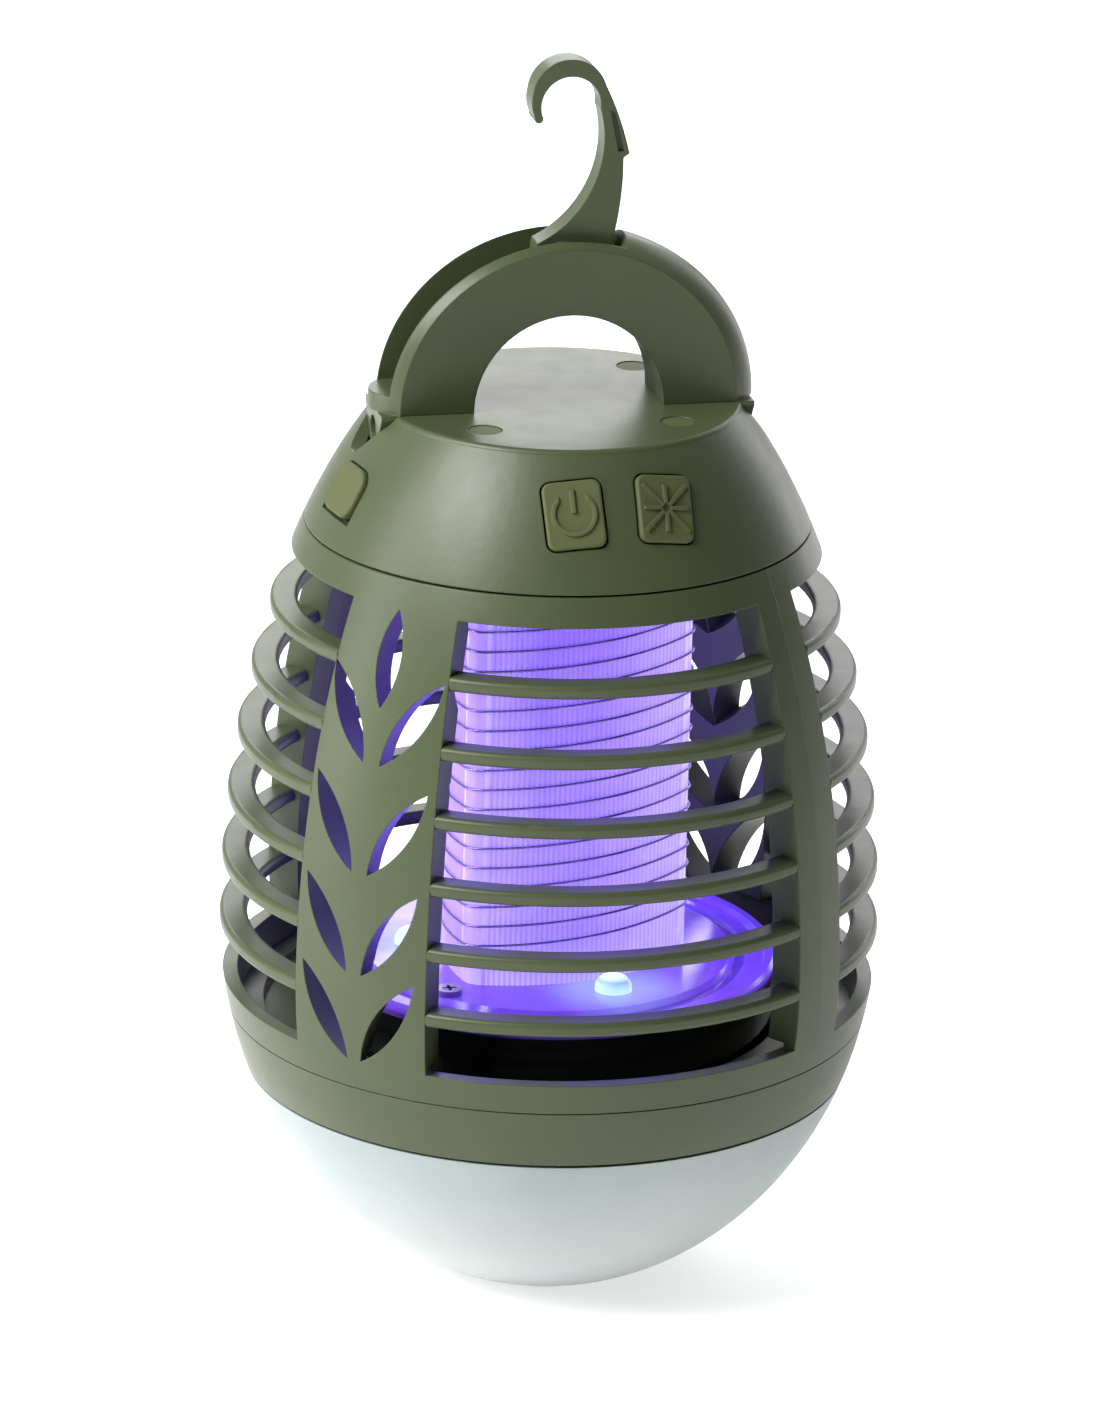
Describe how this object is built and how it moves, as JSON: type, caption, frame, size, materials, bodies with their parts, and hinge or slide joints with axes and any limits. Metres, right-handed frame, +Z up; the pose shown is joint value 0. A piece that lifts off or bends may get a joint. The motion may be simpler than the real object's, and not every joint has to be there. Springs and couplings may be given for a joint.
{
  "type": "electric bug zapper",
  "caption": "Egg-shaped rechargeable camping bug zapper: louvred guard cage, lift-out head with ultraviolet column and live wires, carrying handle, folding hook and milky lantern lens.",
  "frame": {"origin": "centre of the flat foot under the lens dome, on the surface it stands on", "axes": "+Z up along the body's axis, the handle's arch stands in the XZ plane, the two keys face -Y"},
  "size_m": [0.0904, 0.0904, 0.1708],
  "materials": {
    "green_plastic": "fine satin moulded ABS, olive green",
    "dark_green_plastic": "satin moulded ABS, deeper olive",
    "green_rubber": "soft-touch olive silicone",
    "black_rubber": "matt black silicone",
    "black_plastic": "matt black ABS",
    "white_lens": "milky translucent polycarbonate",
    "violet_plastic": "glossy translucent violet polycarbonate",
    "lavender_tube": "clear fluted polycarbonate lit from inside",
    "clear_plastic": "clear polycarbonate",
    "steel_wire": "bright drawn stainless steel",
    "screw_steel": "zinc plated steel",
    "led_dome": "clear epoxy, glowing",
    "led_chip": "moulded LED packages",
    "board_green": "solder-masked circuit board",
    "cell_wrap": "shrink-wrapped cell",
    "ferrite": "ferrite core with taped winding"
  },
  "bodies": {
    "guard": {"cage_half_front": "green_plastic", "cage_half_rear": "green_plastic", "slats_front": "green_plastic", "slats_right": "green_plastic", "slats_rear": "green_plastic", "slats_left": "green_plastic", "base_ring": "green_plastic", "lens_gasket": "black_rubber", "lens_dome": "white_lens"},
    "head": {"cap_shell": "green_plastic", "screw_plugs": "green_rubber", "cap_screws": "screw_steel", "key_switches": "black_plastic", "key_boards": "board_green", "usb_socket": "screw_steel", "handle": "green_plastic", "handle_screws": "screw_steel", "hook_pin": "screw_steel", "chassis_plate": "dark_green_plastic", "head_seal": "black_rubber", "control_board": "board_green", "control_chips": "black_plastic", "hv_transformer": "ferrite", "hv_capacitor": "cell_wrap", "uv_column": "lavender_tube", "corner_posts": "clear_plastic", "column_collar": "dark_green_plastic", "live_wire_a": "steel_wire", "live_wire_b": "steel_wire", "battery": "cell_wrap", "uv_strips": "board_green", "uv_chips": "led_chip", "dish": "violet_plastic", "dish_leds": "led_dome", "dish_screws": "screw_steel", "drum": "black_plastic", "lantern_board": "board_green", "lantern_chips": "led_chip"},
    "hook": {"hook": "green_plastic"},
    "power_key": {"power_key": "green_rubber"},
    "light_key": {"light_key": "green_rubber"},
    "usb_cover": {"usb_cover": "green_rubber"}
  },
  "joints": [
    {"name": "head_lift", "type": "slide", "parent": "guard", "child": "head", "axis": [0, 0, 1], "range_m": [0, 0.08]},
    {"name": "hook_fold", "type": "hinge", "parent": "head", "child": "hook", "pos_m": [-0.0005, 0, 0.1429], "axis": [0, -1, 0], "range_deg": [0, 122]},
    {"name": "power_key_press", "type": "slide", "parent": "head", "child": "power_key", "axis": [0.1292, 0.8445, -0.5198], "range_m": [0, 0.0007], "stiffness_N_per_m": 900},
    {"name": "light_key_press", "type": "slide", "parent": "head", "child": "light_key", "axis": [-0.234, 0.8216, -0.5198], "range_m": [0, 0.0007], "stiffness_N_per_m": 900},
    {"name": "usb_cover_open", "type": "hinge", "parent": "head", "child": "usb_cover", "pos_m": [-0.03142, -0.00554, 0.11113], "axis": [0.1736, -0.9848, 0], "range_deg": [0, 100]}
  ]
}
